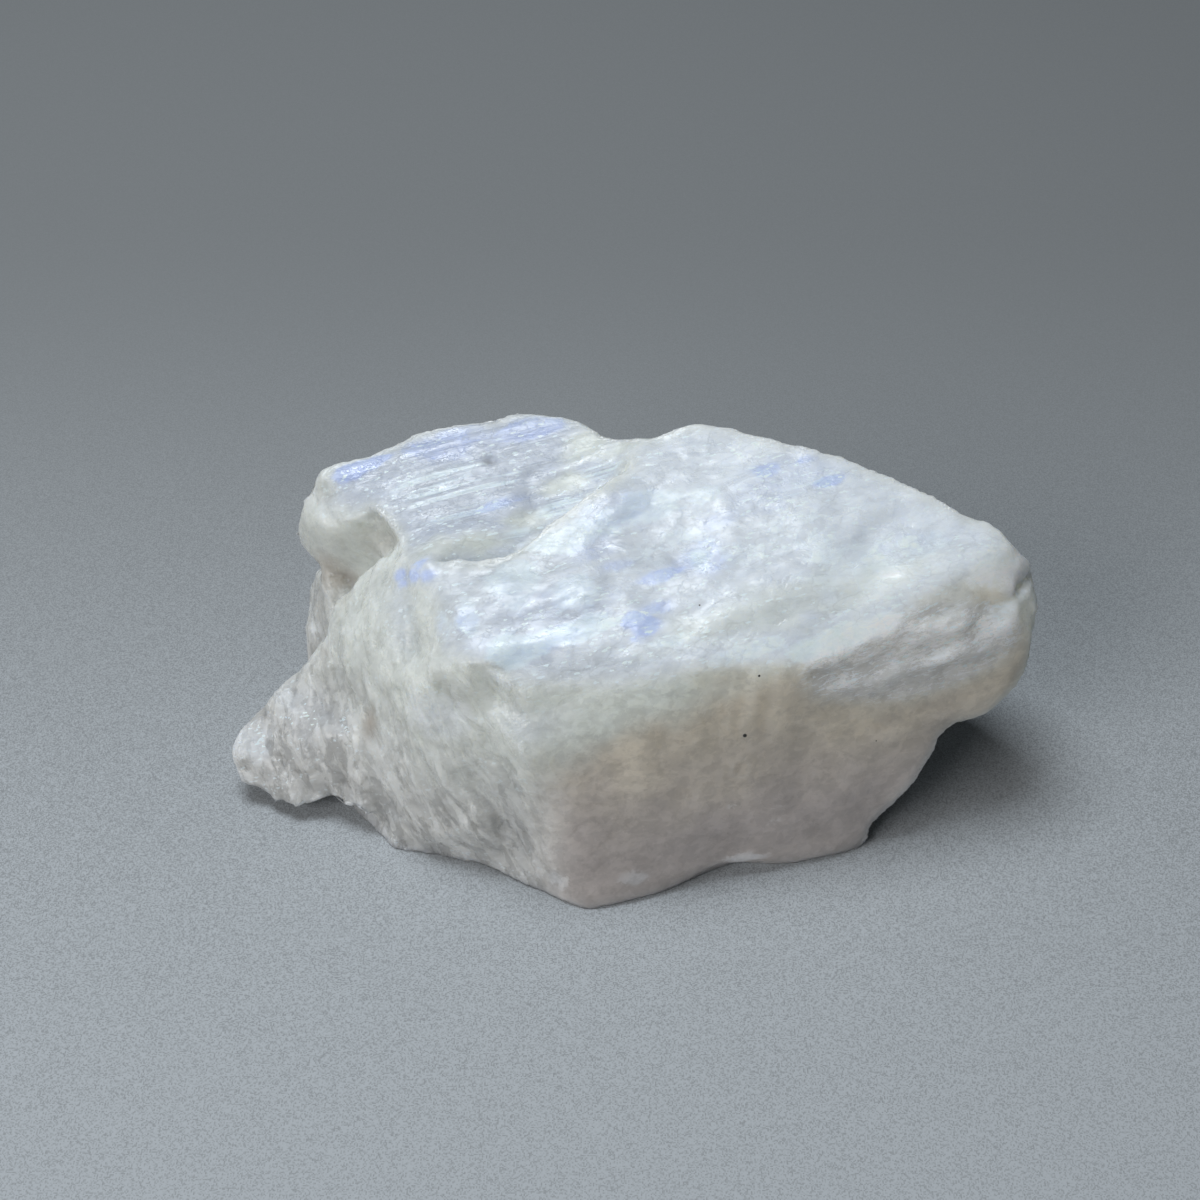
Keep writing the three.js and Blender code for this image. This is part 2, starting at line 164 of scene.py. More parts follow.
def terraces(p, seed):
    """Flat levels with ragged edges, about one unit across: their heights, and a random tone for each."""
    field = fractal(p, seed) / TERRACE_STEP
    level = np.floor(field)
    height = TERRACE_STEP * (level + ramp(field - level, 0.65, 1.0))
    place = np.stack([level, 0 * level, 0 * level], axis=1)
    return height, lattice(place, seed)


def lobes(p, seed):
    """Rounded lobes about one unit across: the way in from the creases between them, and a tone for each."""
    wander, scatter = 0.22, 0.45
    p = p + wander * np.stack([fractal(p * 1.4, seed + n) for n in range(3)], axis=1)
    own = np.floor(p)
    nearest = np.full(len(p), np.inf)
    second = nearest.copy()
    tone = np.zeros(len(p))
    for step in np.ndindex(3, 3, 3):
        cell = own + np.array(step) - 1
        shift = np.stack([lattice(cell, seed + n) for n in range(3)], axis=1)
        distance = np.linalg.norm(p - cell - 0.5 - scatter * shift, axis=1)
        closer = distance < nearest
        second = np.where(closer, nearest, np.minimum(second, distance))
        tone = np.where(closer, lattice(cell, seed + 3), tone)
        nearest = np.minimum(nearest, distance)
    return second - nearest, tone


def ripples(across, waver):
    """Rounded parallel ridges one unit apart, which sway by the waver."""
    return np.cos(2 * math.pi * (across + waver))


# ---------------------------------------------------------------- the fine surface

# Where one kind of face turns into the next: the change starts at the first number and is complete at the
# second. Flatness and facing are the normal's share in a direction, a tilt is 1 less the flatness, and places
# are in millimetres.
UPPER_FLATNESS = (0.70, 0.92)
BAND_TILT = (0.06, 0.22)
FRONT_FACING = (0.45, 0.75)
FRONT_START = (-11, -5)
LEFT_FACING = (0.3, 0.7)
ABOVE_SIDES = (SLAB_LEVEL - 3, SLAB_LEVEL - 2)
ABOVE_SLAB = (SLAB_LEVEL + 0.6, SLAB_LEVEL + 1.6)
RIGHT_OF_SLAB = (-1, 3)


class Surface:
    """A mesh's vertices in millimetres, with what the relief and the masks need to know about them."""

    def __init__(self, mesh):
        self.mesh = mesh
        count = len(mesh.vertices)
        self.points = np.empty(count * 3)
        mesh.vertices.foreach_get("co", self.points)
        self.points = self.points.reshape(-1, 3) / MM
        self.edges = np.empty(len(mesh.edges) * 2, dtype=np.int64)
        mesh.edges.foreach_get("vertices", self.edges)
        self.edges = self.edges.reshape(-1, 2)
        self.degree = np.bincount(self.edges.ravel(), minlength=count)[:, None]

    def average(self, values):
        """Each vertex's mean of its neighbours' values."""
        a, b = self.edges.T
        total = np.zeros_like(values)
        for column in range(values.shape[1]):
            total[:, column] = np.bincount(a, values[b, column], len(values))
            total[:, column] += np.bincount(b, values[a, column], len(values))
        return total / self.degree

    def smoothed(self, values, spread):
        """Values made gradual over this area, in square millimetres."""
        for _ in range(int(spread / VOXEL**2)):
            values = (values + self.average(values)) / 2
        return values

    def evened(self, values):
        """A single measure for a large colour area, made to change gradually."""
        return self.smoothed(values[:, None], COLOUR_SPREAD)[:, 0]

    def write(self):
        self.mesh.vertices.foreach_set("co", (self.points * MM).ravel())
        self.mesh.update()

    def normals(self):
        self.write()
        found = np.empty(len(self.points) * 3)
        self.mesh.vertex_normals.foreach_get("vector", found)
        return found.reshape(-1, 3)

    def look_around(self):
        """Works out the position and direction measures that the relief and the masks share."""
        self.fine = self.normals()
        broad = self.smoothed(self.fine, NORMAL_SPREAD)
        broad = broad / np.linalg.norm(broad, axis=1, keepdims=True)
        self.x, _, self.z = self.points.T
        self.crystal = self.points @ CRYSTAL
        level = self.crystal[:, 2]
        self.flatness = broad @ LAYERS
        self.upper = ramp(level, *ABOVE_SIDES) * ramp(self.flatness, *UPPER_FLATNESS)
        raised = np.maximum(ramp(level, *ABOVE_SLAB), ramp(self.x, *RIGHT_OF_SLAB))
        self.main = self.upper * raised
        self.slab = self.upper * (1 - raised)
        self.side = 1 - self.upper
        self.front = self.side * ramp(-broad[:, 1], *FRONT_FACING) * ramp(self.x, *FRONT_START)
        leftward = -broad[:, 0] - 0.5 * broad[:, 1]
        self.left = self.side * ramp(leftward, *LEFT_FACING) * (1 - self.front)
        self.back = self.side - self.front - self.left
        self.band = ramp(1 - self.flatness, *BAND_TILT) * ramp(near(self, *BAND), 0.0, 0.3)


def near(s, place, reach):
    """1 at a place, 0 beyond this reach from it, in millimetres."""
    distance = np.linalg.norm((s.points - np.array(place)) / np.array(reach), axis=1)
    return 1 - ramp(distance, 0, 1)


def fine_copy(cad):
    """A copy of a CAD solid with an even, fine mesh."""
    rough = bpy.data.objects.new("moonstone_remesh", cad.data.copy())
    bpy.context.collection.objects.link(rough)
    remesh = rough.modifiers.new("even", "REMESH")
    remesh.mode = "VOXEL"
    remesh.voxel_size = VOXEL * MM
    remesh.use_smooth_shade = True
    evaluated = rough.evaluated_get(bpy.context.evaluated_depsgraph_get())
    mesh = bpy.data.meshes.new_from_object(evaluated)
    mesh.name = "moonstone_surface"
    bpy.data.objects.remove(rough)
    stone = bpy.data.objects.new("moonstone_surface", mesh)
    bpy.context.collection.objects.link(stone)
    return stone


# The upper faces' relief: sizes along the grain, across it and through the layers, and heights.
LOBE = (6.5, 4.2, 14.0)
LOBE_HEIGHT = 0.10
CREASE_WIDTH = 0.16  # as a share of a lobe
SMALL_LOBE = (2.4, 1.5, 4.0)
SMALL_LOBE_HEIGHT = 0.02
SLOPE = (7.0, 4.5, 5.0)
MAIN_SLOPE_HEIGHT = 0.13
SLAB_SLOPE_HEIGHT = 0.12
STRIA_SPACING = 0.82
STRIA_HEIGHT = 0.05
RIDGE_SPACING = 2.3
RIDGE_HEIGHT = 0.04

# The sides' relief. The flakes' sizes are down along them, across them and through them.
FLAKE = (8.0, 3.4, 5.0)
FLAKE_HEIGHT = 0.50
FLAKE_SLOPE = (4.5, 2.6, 3.0)
CHIP = (7.0, 7.0, 5.0)
CHIP_HEIGHT = 0.45
CHIP_SLOPE = 4.5
SIDE_SLOPE_HEIGHT = 0.3
SCALE = (7.0, 7.0, 4.0)
SCALE_HEIGHT = 0.06
DENT = 6.5
DENT_HEIGHT = 0.2
FOLD_SPACING = 3.0
FOLD_HEIGHT = 0.14

# The band's relief, in the crystal's directions.
COMB = (3.0, 1.5, 0.6)
COMB_HEIGHT = 0.12
LAYER_STEP = (3.2, 1.8, 1.0)
LAYER_STEP_HEIGHT = 0.16


def upper_relief(s):
    """Lobes with creases between them on the main face, and striations that follow the grain."""
    inward, s.upper_tone = lobes(s.crystal / LOBE, seed=50)
    # Where the creases lie, for the painted shade in them.
    s.crease = s.main * (1 - ramp(inward, 0.0, CREASE_WIDTH))
    small, _ = lobes(s.crystal / SMALL_LOBE, seed=60)
    rounded = LOBE_HEIGHT * ramp(inward, 0, 0.6) + SMALL_LOBE_HEIGHT * ramp(small, 0, 0.5)
    slopes = facets(s.crystal / SLOPE, seed=4)
    calm = 1 - 0.6 * ramp(s.x, 8, 18)  # the right half is smoother
    across = s.crystal[:, 1]
    waver = 0.35 * smooth_noise(s.crystal / (9, 3, 4), seed=6)
    striae = STRIA_HEIGHT * ripples(across / STRIA_SPACING, waver) * near(s, *STREAKS)
    ridges = RIDGE_HEIGHT * ripples(across / RIDGE_SPACING, waver)
    striated = striae + ridges + SLAB_SLOPE_HEIGHT * slopes
    return s.main * calm * (rounded + MAIN_SLOPE_HEIGHT * slopes) + s.slab * striated


def side_relief(s):
    """Flakes that slant down the left side, gentle dents on the front and broken steps elsewhere."""
    slanted = s.points @ SLANTED
    flakes, s.left_tone = terraces(slanted / FLAKE, seed=90)
    chips, s.back_tone = terraces(s.points / CHIP, seed=130)
    scales, s.front_tone = terraces(s.points / SCALE, seed=170)
    left = FLAKE_HEIGHT * flakes + SIDE_SLOPE_HEIGHT * facets(slanted / FLAKE_SLOPE, seed=7)
    back = CHIP_HEIGHT * chips + SIDE_SLOPE_HEIGHT * facets(s.points / CHIP_SLOPE, seed=5)
    front = SCALE_HEIGHT * scales + DENT_HEIGHT * facets(s.points / DENT, seed=8)
    waver = 0.3 * smooth_noise(s.points / 4, seed=12)
    folds = FOLD_HEIGHT * ripples((s.x - FOLDS[0][0]) / FOLD_SPACING, waver)
    rough = 1 - LEDGE_CALM * near(s, *LEDGE)
    return rough * (s.left * left + s.back * back) + s.front * (front + folds * near(s, *FOLDS))


def band_relief(s):
    """Broken edges of thin layers below the right end of the main face."""
    combed_sheen = fractal(s.crystal / COMB, seed=14)
    steps, _ = terraces(s.crystal / LAYER_STEP, seed=190)
    return s.band * (COMB_HEIGHT * combed_sheen + LAYER_STEP_HEIGHT * steps)


def marks(s):
    """Single small marks: a ringed chip on the front, pits and the crack at the right end."""
    ring = np.linalg.norm(s.points - RING, axis=1)
    height = RING_HEIGHT * np.exp(-(((ring - RING_RADIUS) / RING_WIDTH) ** 2))
    for place, radius, depth in PITS:
        height -= depth * near(s, place, (radius,) * 3)
    crack = (s.points - CRACK) @ CRACK_NORMAL + 0.2 * smooth_noise(s.points / 1.5, seed=16)
    open_end = s.side * ramp(s.x, CRACK[0] - 2, CRACK[0] + 2)
    return height - CRACK_DEPTH * open_end * np.exp(-((crack / CRACK_WIDTH) ** 2))


def shape_surface(stone):
    """Softens the CAD facets, then adds the relief that is too fine for them."""
    s = Surface(stone.data)
    s.points = s.smoothed(s.points, SOFTENING)
    s.look_around()
    waxy = np.max([s.front * (1 - s.band)] + [near(s, *place) for place in WORN], axis=0)
    s.points += waxy[:, None] * (s.smoothed(s.points, WAXING) - s.points)
    s.look_around()
    clear = ramp(s.z, 0.05, 0.8)  # nothing is raised where the stone rests
    height = (upper_relief(s) + side_relief(s)) * (1 - s.band) + band_relief(s) + marks(s)
    s.points += s.fine * (height * clear)[:, None]
    s.points[:, 2] = np.maximum(s.points[:, 2], 0)
    s.look_around()
    s.tone = s.main * s.upper_tone + s.left * s.left_tone + s.back * s.back_tone + s.front * s.front_tone
    return s


# ---------------------------------------------------------------- where the colours lie

# Painted blue schiller sheen, in patches on the upper faces: x and y of the middle, then half the length
# along and across the grain, in millimetres, and how strong the patch is.
SCHILLER = [
    (0.9, -8.2, 2.2, 1.7, 1.0),  # strongest patch, in the middle of the main face
    (2.2, -6.2, 2.0, 1.0, 0.6),
    (-7.1, -9.2, 2.6, 1.3, 0.5),
    (-10.0, -10.0, 1.8, 1.2, 0.4),
    (-8.0, -7.0, 9.0, 4.2, 0.3),
    (2.9, -2.7, 2.8, 0.9, 0.7),
    (-1.3, -1.7, 2.4, 0.9, 0.55),
    (6.5, -1.0, 3.6, 2.6, 0.45),
    (-15.5, -7.2, 1.2, 1.9, 0.5),
    (-17.7, -8.3, 0.7, 1.4, 0.4),
    (-3.5, 0.2, 3.6, 1.5, 0.4),
    (-1.0, 4.2, 4.5, 2.0, 0.35),
    (8.5, 3.0, 2.2, 1.0, 0.4),
    (13.5, 8.6, 2.2, 1.1, 0.7),  # near the back edge
    (17.4, 9.8, 1.8, 0.7, 0.7),
    (19.6, 7.4, 2.8, 0.7, 0.8),
    (16.0, 8.0, 6.5, 3.0, 0.3),
    (13.8, 4.3, 2.4, 0.8, 0.3),
    (26.8, 0.6, 4.0, 1.6, 0.25),
    (-21.1, -0.6, 2.2, 0.9, 1.0),  # on the left shoulder
    (-28.0, 12.0, 2.4, 1.0, 0.9),  # left end of the slab
    (-25.2, 13.0, 2.2, 0.8, 0.9),
    (-18.0, 14.8, 6.5, 2.0, 0.6),  # along the slab's back edge
    (-10.5, 16.4, 6.5, 1.8, 0.6),
    (-13.6, 7.2, 3.4, 0.8, 0.6),
]

# Painted pearly sheen: bright white plates on the upper faces, given in the same way.
PEARLY_SHEEN = [
    (-11.1, -3.4, 3.0, 2.6, 0.9),  # lobes on the left half of the main face
    (-5.6, -4.8, 2.8, 2.2, 0.8),
    (-15.6, -6.4, 1.4, 2.4, 0.8),
    (-17.9, -7.4, 0.8, 2.0, 0.7),
    (-10.4, -10.1, 3.6, 1.8, 1.4),
    (-4.6, -8.6, 3.6, 1.4, 1.1),
    (-4.8, 2.0, 4.6, 2.0, 0.8),
    (-8.9, 1.4, 2.0, 1.0, 0.9),
    (2.8, 5.2, 4.6, 1.8, 0.8),
    (7.0, 6.2, 2.4, 1.2, 0.6),
    (6.8, -1.0, 1.3, 1.8, 1.0),
    (4.0, 0.5, 6.0, 2.2, 0.45),
    (14.0, 1.0, 6.0, 2.4, 0.4),
    (22.2, -1.1, 7.0, 3.0, 0.5),
    (28.0, 0.6, 4.0, 1.4, 0.5),
    (36.5, -2.0, 4.5, 3.0, 0.7),
    (21.0, -8.6, 7.0, 1.6, 1.1),
    (3.2, -9.8, 3.0, 0.8, 0.7),  # along the front edge
    (10.8, -10.4, 5.0, 0.8, 0.6),
    (-21.1, -0.6, 1.6, 0.5, 0.6),
    (-19.5, 10.5, 5.0, 1.5, 0.4),
]

# Waxy greenish places on the upper faces, given in the same way.
WAXY = [
    (-3.9, 14.2, 3.6, 2.6, 0.9),  # the valley between slab and main face
    (-6.5, 9.9, 3.4, 1.3, 0.9),
    (-9.8, 5.9, 3.2, 1.3, 0.9),
    (-14.6, 2.9, 3.4, 1.5, 0.9),
    (-19.5, 1.6, 3.4, 1.5, 0.8),
    (1.5, 14.2, 6.5, 1.8, 0.8),
    (-30.5, 6.5, 4.0, 3.0, 0.8),  # the ledge
    (12.5, -6.5, 12.0, 2.6, 0.6),  # along the front edge
    (24.0, -3.0, 9.0, 2.6, 0.6),
]

# Bright streaks of painted silky sheen on the upper faces, given in the same way.
COMBED_SHEEN = [
    (-18.4, 9.8, 6.0, 2.6, 1.0),
    (-13.5, 10.6, 3.0, 1.6, 0.9),
    (-16.0, 6.6, 6.0, 1.0, 0.6),
    (-2.4, 11.4, 3.4, 1.0, 0.7),
    (-6.9, 7.3, 3.4, 1.0, 0.7),
    (-10.8, 4.1, 2.6, 0.9, 0.6),
    (17.0, 6.4, 6.0, 1.2, 0.4),
]


def patches(s, places, seed, core=0.3):
    """How much of these patches each vertex lies in, with uneven edges that fade outside the core."""
    uneven = 0.3 * fractal(s.crystal / (2.4, 1.5, 2.0), seed)
    total = np.zeros(len(s.points))
    for x, y, along, across, strength in places:
        offset = s.points - np.array([x, y, 0])
        offset[:, 2] = 0
        distance = np.hypot(offset @ GRAIN / along, offset @ ACROSS / across) + uneven
        total = np.maximum(total, strength * (1 - ramp(distance, core, 1.2)))
    return total


# Pale patches on the sides, partly painted light below the front edge, on the tip and on the ledge's rim:
# middle, reach and strength.
PALE_AND_PAINTED_LIGHT = [
    ((-7.0, -20.0, 2.6), (3.2, 4.0, 2.4), 0.8),  # low on the front and the left side
    ((0.6, -20.2, 2.4), (3.2, 4.0, 1.9), 0.8),
    ((11.2, -17.4, 2.2), (4.6, 4.0, 1.3), 0.9),
    ((9.9, -15.5, 8.6), (1.6, 4.0, 0.8), 0.6),
    ((14.6, -14.5, 7.6), (1.8, 4.0, 0.7), 0.6),
    ((14.0, -15.0, 6.0), (2.0, 4.0, 0.8), 0.5),
    ((-23.5, -12.5, 3.2), (2.6, 4.0, 1.6), 0.8),
    ((-39.5, -4.0, 6.0), (2.2, 5.0, 3.5), 1.0),
    ((-31.0, 7.0, 16.0), (2.0, 4.0, 2.2), 0.7),
    ((-32.8, 7.0, 10.8), (2.0, 4.0, 2.4), 0.8),
    ((-35.5, -2.0, 9.5), (3.0, 4.0, 1.6), 0.8),
    ((-18.2, -12.2, 16.5), (6.0, 5.0, 4.0), 1.4),  # below the front edge
    ((-11.0, -11.0, 21.5), (5.0, 4.0, 2.4), 1.2),
    ((38.0, 0.0, 25.0), (5.0, 5.0, 4.0), 2.0),  # the tip
    ((-37.5, -5.0, 5.5), (4.0, 4.0, 3.5), 0.8),  # the toe
    ((-31.8, 7.2, 24.6), (4.5, 4.0, 1.2), 0.9),  # the ledge's rim
    ((-25.9, 3.6, 23.4), (2.4, 1.6, 2.0), 0.8),  # the shoulder's left edge
    ((-28.0, 3.0, 21.2), (1.6, 1.6, 2.4), 0.9),
    ((-29.2, 2.6, 18.0), (1.4, 1.6, 2.6), 0.2),
    ((-30.5, 1.2, 13.8), (1.4, 1.8, 2.4), 0.7),
]

# Painted blue schiller sheen on the steeper left shoulder: middle, reach and strength.
SHOULDER_BLUE_SHEEN = [
    ((-22.4, -0.3, 24.2), (1.9, 1.5, 1.2), 1.0),
    ((-21.0, -1.2, 24.9), (1.9, 1.5, 1.2), 1.0),
    ((-19.6, -1.9, 25.5), (1.9, 1.5, 1.2), 0.9),
    ((-15.8, -7.0, 24.6), (1.4, 2.6, 2.0), 0.5),
    ((-18.0, -7.1, 23.6), (1.0, 2.2, 2.0), 0.4),
]

# Brownish stains, and painted shade under the ledge, behind its rim and in the pocket beside it, given in the
# same way.
STAINS_AND_SHADE = [
    ((-25.8, -7.8, 11.5), (1.7, 1.7, 3.4), 1.0),
    ((-29.6, 8.0, 17.5), (4.6, 4.0, 2.0), 1.0),  # under the ledge
    ((-31.0, 8.2, 18.0), (4.6, 5.0, 3.6), 0.85),
    ((-31.5, 10.2, 25.6), (3.0, 1.6, 0.8), 0.35),  # behind its rim
    ((-25.0, 6.6, 22.6), (4.0, 4.0, 3.0), 0.5),
    ((-14.0, 12.5, 28.8), (1.1, 0.9, 1.2), 0.9),  # a pit in the slab
    ((-30.5, 0.5, 13.5), (1.6, 2.5, 1.6), 0.5),
    ((-29.6, 4.5, 15.6), (1.3, 3.0, 2.4), 0.6),
    ((-28.6, 3.0, 18.6), (1.6, 2.4, 2.4), 0.6),
    ((-30.5, 5.5, 22.0), (7.0, 5.0, 4.0), 0.25),
]

# Silvery tufts of broken layers with painted glints, in the band and on the tip, given in the same way.
TUFTS = [
    ((19.2, -9.4, 22.5), (6.0, 5.0, 2.0), 1.0),
    ((20.3, -10.4, 19.3), (3.0, 4.0, 1.2), 0.8),
    ((25.3, -5.1, 24.8), (3.0, 4.0, 1.8), 1.0),
    ((30.1, -7.5, 19.9), (3.0, 4.0, 1.6), 0.8),
    ((35.7, -4.6, 21.3), (5.0, 5.0, 2.8), 1.0),
    ((38.8, 0.4, 24.0), (3.2, 4.0, 3.4), 1.0),
    ((28.0, -7.0, 21.5), (11.0, 5.0, 3.2), 0.5),
]


WARM_TOP = 20.3  # height of the warm colour's upper end on the front, which rises to the right


def spots(s, places):
    """How much of these places each vertex lies in."""
    return np.max([strength * near(s, place, reach) for place, reach, strength in places], axis=0)


def colour_masks(s):
    """The share of each colouring at each vertex, by name."""
    uneven = fractal(s.points / 5, seed=40)
    upper = s.evened(ramp(s.flatness, 0.72, 0.95))
    front = s.evened(s.front)
    band = s.evened(s.band)
    low = 1 - ramp(s.z + 2.0 * uneven, 5, 18)
    toe = ramp(-s.x, 24, 29) * (1 - ramp(s.z, 13, 17))
    below_edge = (WARM_TOP - s.z) / 5 + (s.x - 2) / 14 + 0.35 * uneven
    rough = 1 - LEDGE_CALM * near(s, *LEDGE)
    recess_shade = near(s, *RECESS)
    green = patches(s, WAXY, 24)
    return {
        "upper": upper,
        "front": front,
        "left": np.maximum(s.left, s.back) * rough,
        "fibre": s.band,
        "tufts": spots(s, TUFTS),
        "silk": s.evened(s.slab) * (1 - green),
        "combed_sheen": s.upper * patches(s, COMBED_SHEEN, 32),
        # Painted blue schiller sheen.
        "blue": np.maximum(s.upper * patches(s, SCHILLER, 20, core=0.5), spots(s, SHOULDER_BLUE_SHEEN)),
        # Painted pearly sheen.
        "pearly_sheen": s.upper * patches(s, PEARLY_SHEEN, 28, core=0.6),
        "waxy": np.maximum(s.upper * green, (1 - upper) * (1 - low) * (1 - 0.4 * s.left)),
        "warm": front * ramp(below_edge, -0.3, 0.9) * (1 - 0.8 * band),
        "low": low,
        # Greyer low down on the sides and at the toe, and painted shade in the recess under the ledge.
        "dim": np.clip(0.6 * low * (1 - front) + 0.1 * toe + 0.5 * recess_shade, 0, 1),
        # Pale stone, and painted light below the front edge, on the tip and on the ledge's rim.
        "pale": (1 - s.upper) * spots(s, PALE_AND_PAINTED_LIGHT),
        "tone": 0.5 + 0.5 * s.tone,
        "crease": s.crease,
        # Painted light: the colour gets lighter towards the right end, which the lamps light less than the
        # left.
        "painted_light_rightward": ramp(s.x + 2 * uneven, -25, 32),
        # Brownish stains, and painted shade under the ledge.
        "stain_and_shade": spots(s, STAINS_AND_SHADE) * np.clip(0.8 + 0.5 * uneven, 0, 1),
    }


def store(mesh, masks):
    """Keeps the masks on the mesh, where the material reads them."""
    for name, values in masks.items():
        layer = mesh.attributes.new(name, "FLOAT", "POINT")
        layer.data.foreach_set("value", values.astype(np.float32))


# ---------------------------------------------------------------- material nodes

class Nodes:
    """Short ways of making the nodes that the materials use."""

    def __init__(self, name):
        self.material = bpy.data.materials.new(name)
        self.material.use_nodes = True
        self.tree = self.material.node_tree
        self.tree.nodes.clear()

    def make(self, kind, inputs=None, **settings):
        node = self.tree.nodes.new("ShaderNode" + kind)
        for key, value in settings.items():
            setattr(node, key, value)
        for key, value in (inputs or {}).items():
            self.put(node.inputs[key], value)
        return node

    def finish(self, shader):
        """Makes this shader the material's surface."""
        output = self.make("OutputMaterial")
        self.put(output.inputs["Surface"], shader.outputs[0])

    def put(self, socket, value):
        """Links a node's output to a socket, or sets the socket to a number or a colour."""
        if isinstance(value, bpy.types.NodeSocket):
            self.tree.links.new(value, socket)
        elif socket.type == "RGBA" and len(value) == 3:
            socket.default_value = (*value, 1)
        else:
            socket.default_value = value

    def math(self, operation, a, b=0.0, clamp=False):
        node = self.make("Math", {0: a, 1: b}, operation=operation, use_clamp=clamp)
        return node.outputs[0]

    def times(self, a, b):
        return self.math("MULTIPLY", a, b)

    def plus(self, first, *rest):
        for value in rest:
            first = self.math("ADD", first, value)
        return first

    def span(self, value, low, high, to_low=0.0, to_high=1.0):
        """Maps low..high to to_low..to_high, softly, and no further."""
        inputs = {"Value": value, "From Min": low, "From Max": high, "To Min": to_low, "To Max": to_high}
        return self.make("MapRange", inputs, interpolation_type="SMOOTHSTEP").outputs[0]

    def scale(self, colour, factor):
        return self.make("VectorMath", {0: colour, "Scale": factor}, operation="SCALE").outputs[0]

    def blend(self, share, a, b):
        """One number while share is 0, and another while it is 1."""
        return self.make("Mix", {0: share, 2: a, 3: b}, data_type="FLOAT").outputs[0]

    def mask(self, name):
        return self.make("Attribute", attribute_name=name).outputs["Fac"]

    def coat(self, colour, name, over, share):
        """Another colour laid over this one where the mask is, and this strongly at most."""
        return self.mix(self.times(self.mask(name), share), colour, over)

    def mix(self, share, a, b):
        node = self.make("Mix", data_type="RGBA")
        self.put(node.inputs[0], share)
        self.put(node.inputs[6], a)
        self.put(node.inputs[7], b)
        return node.outputs[2]

    def in_crystal(self, along, across, through, shift=(0, 0, 0), axes=CRYSTAL):
        """Position in the crystal's directions, in units of these lengths in millimetres."""
        position = self.make("TexCoord").outputs["Object"]
        turn = Matrix([list(row) for row in axes]).to_euler()
        inputs = {
            "Vector": position,
            "Location": Vector(shift) * MM,
            "Rotation": turn,
            "Scale": (along * MM, across * MM, through * MM),
        }
        return self.make("Mapping", inputs, vector_type="TEXTURE").outputs[0]

    def noise(self, place, detail, roughness, distortion=0.0):
        """Gradual noise round 0.5, with features about one unit across."""
        inputs = {
            "Vector": place,
            "Scale": 1.0,
            "Detail": detail,
            "Roughness": roughness,
            "Distortion": distortion,
        }
        return self.make("TexNoise", inputs).outputs["Fac"]

    def flakes(self, place):
        """Ragged patches about one unit across, 1 inside and 0 between them."""
        return self.span(self.noise(place, detail=6.0, roughness=0.62, distortion=0.4), 0.47, 0.53)

    def warped(self, place):
        """The same place, shifted unevenly, so that cells get crooked outlines."""
        shift = self.make("TexNoise", {"Vector": place, "Scale": 1.3, "Detail": 2.0})
        inputs = {0: shift.outputs["Color"], 1: (0.9, 0.9, 0.9), 2: place}
        return self.make("VectorMath", inputs, operation="MULTIPLY_ADD").outputs[0]

    def cells(self, place):
        """A random number for each irregular cell about one unit across."""
        colour = self.make("TexVoronoi", {"Vector": self.warped(place), "Scale": 1.0}).outputs["Color"]
        return self.make("SeparateColor", {0: colour}).outputs[0]

    def fractures(self, place):
        """1 on thin lines between irregular cells about one unit across, and 0 elsewhere."""
        inputs = {"Vector": self.warped(place), "Scale": 1.0}
        edges = self.make("TexVoronoi", inputs, feature="DISTANCE_TO_EDGE")
        return self.span(edges.outputs["Distance"], 0.0, 0.08, 1.0, 0.0)

    def speck(self, x, y, z, radius):
        """1 within a small ball round this point, in millimetres, and 0 outside it."""
        inputs = {0: self.make("TexCoord").outputs["Object"], 1: Vector((x, y, z)) * MM}
        distance = self.make("VectorMath", inputs, operation="DISTANCE").outputs["Value"]
        return self.span(distance, radius * 0.6 * MM, radius * MM, 1.0, 0.0)


# ---------------------------------------------------------------- the stone's material

MILKY = (0.71, 0.755, 0.81)
NEUTRAL = (0.80, 0.82, 0.80)
GREENISH = (0.755, 0.79, 0.74)
GREY_AND_SHADE = (0.53, 0.52, 0.51)
HAZE = (0.52, 0.57, 0.68)
BLUE_SHEEN = (0.54, 0.65, 1.0)
PEARL_HIGHLIGHT = (0.85, 0.95, 1.0)
SILVER = (0.92, 0.96, 1.0)
LAYERED = (0.72, 0.71, 0.725)
BEIGE = (0.68, 0.625, 0.53)
DUSKY = (0.54, 0.495, 0.475)
BROWN = (0.40, 0.34, 0.28)
BLACK = (0.03, 0.028, 0.025)

# How much these lighten or darken the colour, as a share of it.
FLAKES = 0.04
FRONT_FLAKES = 0.05  # more than that on the front
LEFT_FLAKES = 0.03  # more than that on the left side and the back
LOW_LEFT_FLAKES = 0.14  # and more again low down there
CLOUDS = 0.25
GRIT = 0.10
SIDE_GRIT = 0.22
# Painted light that lightens the colour towards the right end.
PAINTED_LIGHT_RIGHTWARD = 0.20  # from the left end to the right
TONES = 0.06
# Painted shade in the creases between the lobes on the main face.
CREASE_SHADE = -0.06
HAIRLINES = -0.10

# Dark mineral specks: x, y, z and radius, in millimetres.
SPECKS = [
    (10.9, -13.9, 15.7, 0.26),
    (24.0, -11.3, 12.4, 0.12),
    (12.1, -11.9, 21.5, 0.14),
    (6.6, -6.0, 25.2, 0.12),
]


def flake_fields(n):
    """Ragged flakes, large and small, along the grain, but slanted on the left side and the back."""
    side = n.mask("left")
    large = n.flakes(n.in_crystal(4.5, 3.2, 3.2))
    small = n.flakes(n.in_crystal(1.5, 1.1, 1.1, (4, 1, 7)))
    large_side = n.flakes(n.in_crystal(9.0, 3.6, 4.5, (3, 8, 1), SLANTED))
    small_side = n.flakes(n.in_crystal(3.2, 1.3, 1.6, (6, 2, 5), SLANTED))
    return n.blend(side, large, large_side), n.blend(side, small, small_side)


